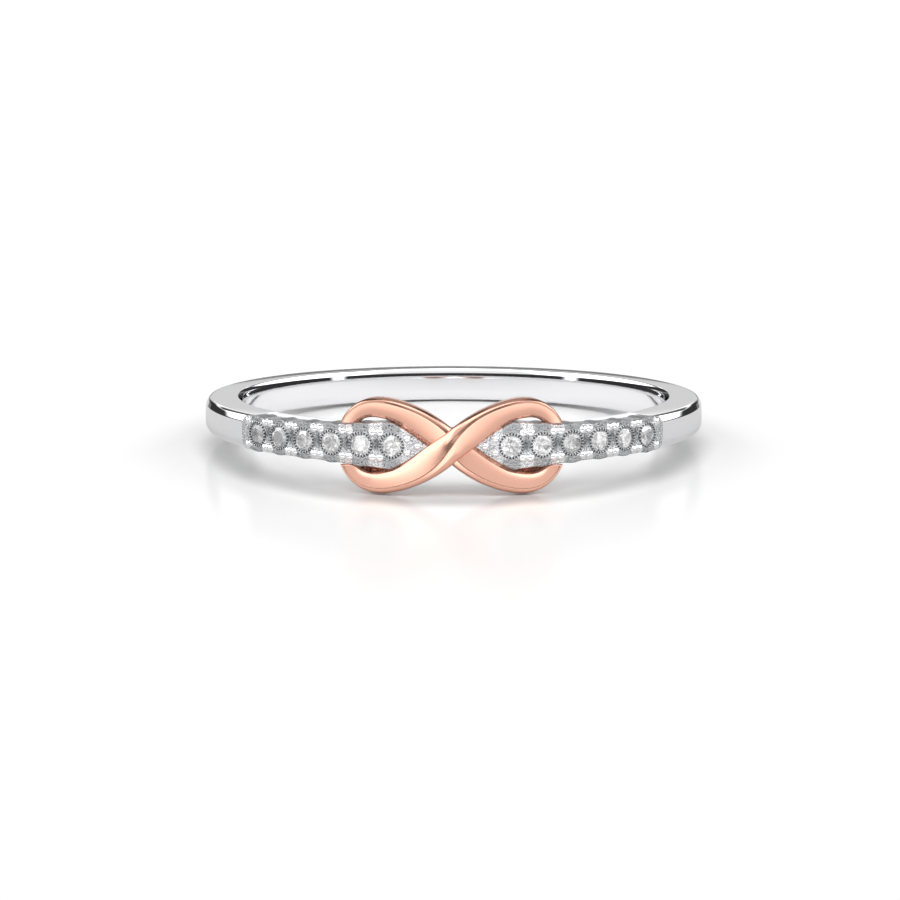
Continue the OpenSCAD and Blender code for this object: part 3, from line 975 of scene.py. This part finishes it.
# The floor as the camera sees it: white, with a painted soft shade under the front of the ring
def seenFloor(tree, place, y):
    s = floorLook
    scale = (1 / millimetre, s["shadeStretch"] / millimetre, 0.0)
    around = addNode(tree, "ShaderNodeMapping", {"Vector": place, "Scale": scale}).outputs[0]
    around = addNode(tree, "ShaderNodeVectorMath", {0: around}, operation="LENGTH").outputs["Value"]
    shade = mathNode(tree, "SUBTRACT", stepNode(tree, around, s["shadeFrom"], s["shadeFromSoft"]),
                     stepNode(tree, around, s["shadeTo"], s["shadeToSoft"]))
    inFront = oneMinus(tree, stepNode(tree, y, s["shadeBehind"], s["shadeBehindSoft"]))
    shade = mathNode(tree, "MULTIPLY", shade, inFront)
    return mixNode(tree, mathNode(tree, "MULTIPLY", shade, s["shade"]), s["seen"], 0.0)


# A sweep of paper with painted light and shade, and a painted glow in front of the ring that only
# reflections show
def makeFloor():
    s = floorLook
    half, z = s["half"] * millimetre, cadLow[2]
    mesh = bpy.data.meshes.new("floor")
    corners = [(-half, -half, z), (half, -half, z), (half, half, z), (-half, half, z)]
    mesh.from_pydata(corners, [], [(0, 1, 2, 3)])
    material, tree, shader = newMaterial("paleFloor")
    place = addNode(tree, "ShaderNodeTexCoord").outputs["Object"]
    cloud = addNode(tree, "ShaderNodeTexNoise", {"Vector": place, "Scale": s["cloudScale"], "Detail": 2.0})
    parts = addNode(tree, "ShaderNodeSeparateXYZ", {0: place}).outputs
    x = mathNode(tree, "MULTIPLY", mathNode(tree, "ABSOLUTE", parts["X"]), 1 / millimetre)
    y = mathNode(tree, "MULTIPLY", parts["Y"], 1 / millimetre)
    away = addNode(tree, "ShaderNodeVectorMath", {0: place}, operation="LENGTH").outputs["Value"]
    away = mathNode(tree, "MULTIPLY", away, 1 / millimetre)
    rays = addNode(tree, "ShaderNodeLightPath").outputs
    glow = mathNode(tree, "MULTIPLY", oneMinus(tree, stepNode(tree, y, s["glowFrom"], s["glowSoft"])),
                    oneMinus(tree, stepNode(tree, x, s["glowHalf"], s["glowHalfSoft"])))
    glow = mathNode(tree, "MULTIPLY", mathNode(tree, "MULTIPLY", glow, s["glow"]), rays["Is Glossy Ray"])
    paper = mixNode(tree, rays["Is Camera Ray"], reflectedFloor(tree, y, away), seenFloor(tree, place, y))
    varied = mathNode(tree, "MULTIPLY_ADD", cloud.outputs["Fac"], s["cloud"], paper)
    color = addNode(tree, "ShaderNodeCombineXYZ", {0: varied, 1: varied, 2: varied})
    shine = mathNode(tree, "MULTIPLY", rays["Is Camera Ray"], s["shine"])
    tree.links.new(color.outputs[0], shader.inputs["Base Color"])
    tree.links.new(glow, shader.inputs["Emission Strength"])
    tree.links.new(shine, shader.inputs["Specular IOR Level"])
    shader.inputs["Emission Color"].default_value = (1, 1, 1, 1)
    shader.inputs["Roughness"].default_value = s["roughness"]
    mesh.materials.append(material)
    floor = bpy.data.objects.new("floor", mesh)
    bpy.context.scene.collection.objects.link(floor)


# Camera: degrees over the ring's own plane and round it, and millimetres
cameraLook = {
    "distance": 400.0,
    "elevation": 8.0,
    "azimuth": 0.55,
    "frameWidth": 34.95,
    "aimRight": -0.144,
    "aimUp": -1.46,
    "sensorWidth": 36,
}


# The camera's angle over the floor is the photo's angle over the ring's own plane plus the ring's lean
def makeCamera():
    s = cameraLook
    angle = math.radians(s["elevation"]) + ring["lean"]
    turn = math.radians(s["azimuth"])
    level = math.cos(angle)
    toCamera = np.array([math.sin(turn) * level, -math.cos(turn) * level, math.sin(angle)])
    right = np.array([math.cos(turn), math.sin(turn), 0])
    upward = np.cross(toCamera, right)
    aim = right * s["aimRight"] + upward * s["aimUp"]
    data = bpy.data.cameras.new("camera")
    data.sensor_width = s["sensorWidth"]
    data.lens = data.sensor_width * s["distance"] / s["frameWidth"]
    data.clip_start, data.clip_end = 0.01, 10
    camera = bpy.data.objects.new("camera", data)
    camera.location = (aim + toCamera * s["distance"]) * millimetre
    camera.rotation_euler = (math.pi / 2 - angle, 0, turn)
    bpy.context.scene.collection.objects.link(camera)
    bpy.context.scene.camera = camera


makeWorld()
makeFloor()
makeCamera()
bpy.context.scene.view_settings.view_transform = "Standard"
print("studio made")
